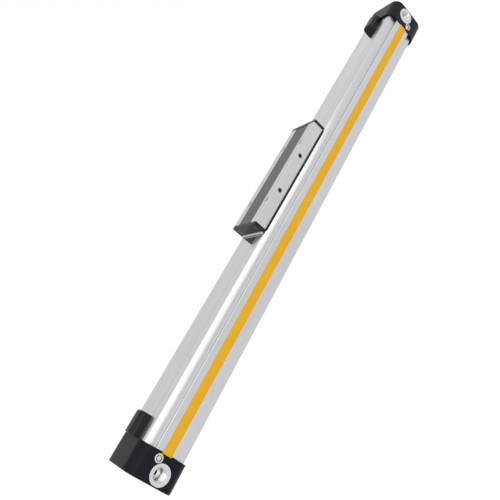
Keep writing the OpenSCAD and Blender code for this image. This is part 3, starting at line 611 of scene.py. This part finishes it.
def buildCarriageBody():
    node = "carriage_body"
    low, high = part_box(node)
    centre = (low + high) / 2
    halfWidth = high.y - centre.y
    margin = carriageBody["endMargin"] * mm
    bm = mergedCopy(node)
    rims = [e for e in hardEdges(bm) if e.calc_length() < carriageBody["rimEdge"] * mm
            and low.x + margin < middle(e).x < high.x - margin]
    top = [e for e in rims if at(middle(e).z, high.z)]
    sides = [e for e in rims if at(abs(middle(e).y - centre.y), halfWidth)]
    # a chamfer only grows outwards from a hole, so nothing needs to hold it back
    breakEdges(bm, top, carriageBody["topChamfer"], segments=1, clamp=False)
    breakEdges(bm, sides, carriageBody["sideChamfer"], segments=1, clamp=False)
    breakEdges(bm, hardEdges(bm, carriageBody["breakAngle"]), carriageBody["edgeBreak"])
    addMountThreads(bm, centre, high.z - carriageBody["topChamfer"] * mm)
    addRigidPiece(node, bm)


# Carriage cover, in mm: break of its edges
carriageCover = {"edgeBreak": 0.45}


def buildCarriageCover():
    bm = mergedCopy("carriage_cover")
    breakEdges(bm, hardEdges(bm), carriageCover["edgeBreak"], segments=3)
    addRigidPiece("carriage_cover", bm)


# End plate, in mm and degrees: round of the edges within reach of its outline, break of the rest
endPlate = {"outerRound": 0.6, "outerReach": 0.7, "edgeBreak": 0.2, "breakAngle": 40}


def buildEndPlate(name):
    node = "end_plate_" + name
    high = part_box(node)[1]
    reach = endPlate["outerReach"] * mm
    bm = mergedCopy(node)
    outer = [e for e in hardEdges(bm)
             if abs(abs(middle(e).y) - high.y) < reach or middle(e).z > high.z - reach]
    breakEdges(bm, outer, endPlate["outerRound"], segments=3)
    breakEdges(bm, hardEdges(bm, endPlate["breakAngle"]), endPlate["edgeBreak"])
    addRigidPiece(node, bm)


buildCarriageBody()
buildCarriageCover()
for name in bothEnds:
    buildEndPlate(name)
print("carriage made")


# Studio, in metres and watts; a tone of 1 is white
studio = {
    "floorSize": 8.0,
    "floorTone": 0.8,
    "shownGlow": 0.95,
    "shownShade": 0.14,
    "worldLevel": 0.68,
    "aim": (0, 0, 0.02),
    "keyPlace": (-0.15, -1.5, 1.2),
    "keySize": (3.6, 2.2),
    "keyPower": 14.5,
    "frontPlace": (-0.7, -1.9, 0.42),
    "frontSize": (1.2, 0.6),
    "frontPower": 4,
}


def areaLight(name, place, size, power):
    data = bpy.data.lights.new(name, "AREA")
    data.shape = "RECTANGLE"
    data.size, data.size_y = size
    data.energy = power
    lamp = bpy.data.objects.new(name, data)
    lamp.location = place
    towards = Vector(studio["aim"]) - Vector(place)
    lamp.rotation_euler = towards.to_track_quat("-Z", "Y").to_euler()
    bpy.context.collection.objects.link(lamp)


def buildFloor():
    # to the object this is a plain pale floor; to the eye it glows white and keeps a soft shadow
    bm = bmesh.new()
    bmesh.ops.create_grid(bm, x_segments=1, y_segments=1, size=studio["floorSize"] / 2)
    mesh = bpy.data.meshes.new("floor")
    bm.to_mesh(mesh)
    bm.free()
    floor = bpy.data.objects.new("floor", mesh)
    bpy.context.collection.objects.link(floor)
    material, s = newMaterial("pale floor")
    lit = s.node("ShaderNodeBsdfDiffuse", {}, {"Color": (studio["floorTone"],) * 3})
    shade = s.node("ShaderNodeBsdfDiffuse", {}, {"Color": (studio["shownShade"],) * 3})
    glow = s.node("ShaderNodeEmission", {}, {"Color": (1, 1, 1), "Strength": studio["shownGlow"]})
    shown = s.node("ShaderNodeAddShader", {}, {0: shade, 1: glow})
    s.finish(s.node("ShaderNodeMixShader", {}, {0: s.shownDirectly(), 1: lit, 2: shown}))
    mesh.materials.append(material)


def buildWorld():
    # white to the eye, and its own level of light for the object
    world = bpy.data.worlds.new("studio")
    bpy.context.scene.world = world
    s = Shader(world)
    level = studio["worldLevel"]
    strength = s.shownDirectly() * (1 - level) + level
    s.finish(s.node("ShaderNodeBackground", {}, {"Color": (1, 1, 1), "Strength": strength}),
             "ShaderNodeOutputWorld")


# Camera: place in metres, turn in degrees, lens and sensor in mm
camera = {
    "place": (-0.23287, -0.36995, 0.20762),
    "turn": (56.6727, 44.5376, -49.6336),
    "lens": 38.825,
    "sensor": 36,
}


def buildCamera():
    data = bpy.data.cameras.new("camera")
    data.lens = camera["lens"]
    data.sensor_width = camera["sensor"]
    eye = bpy.data.objects.new("camera", data)
    eye.location = camera["place"]
    eye.rotation_euler = [radians(a) for a in camera["turn"]]
    bpy.context.collection.objects.link(eye)
    bpy.context.scene.camera = eye


areaLight("keySoftbox", studio["keyPlace"], studio["keySize"], studio["keyPower"])
areaLight("frontSoftbox", studio["frontPlace"], studio["frontSize"], studio["frontPower"])
buildFloor()
buildWorld()
buildCamera()
bpy.context.scene.view_settings.view_transform = "Standard"
print("studio made")
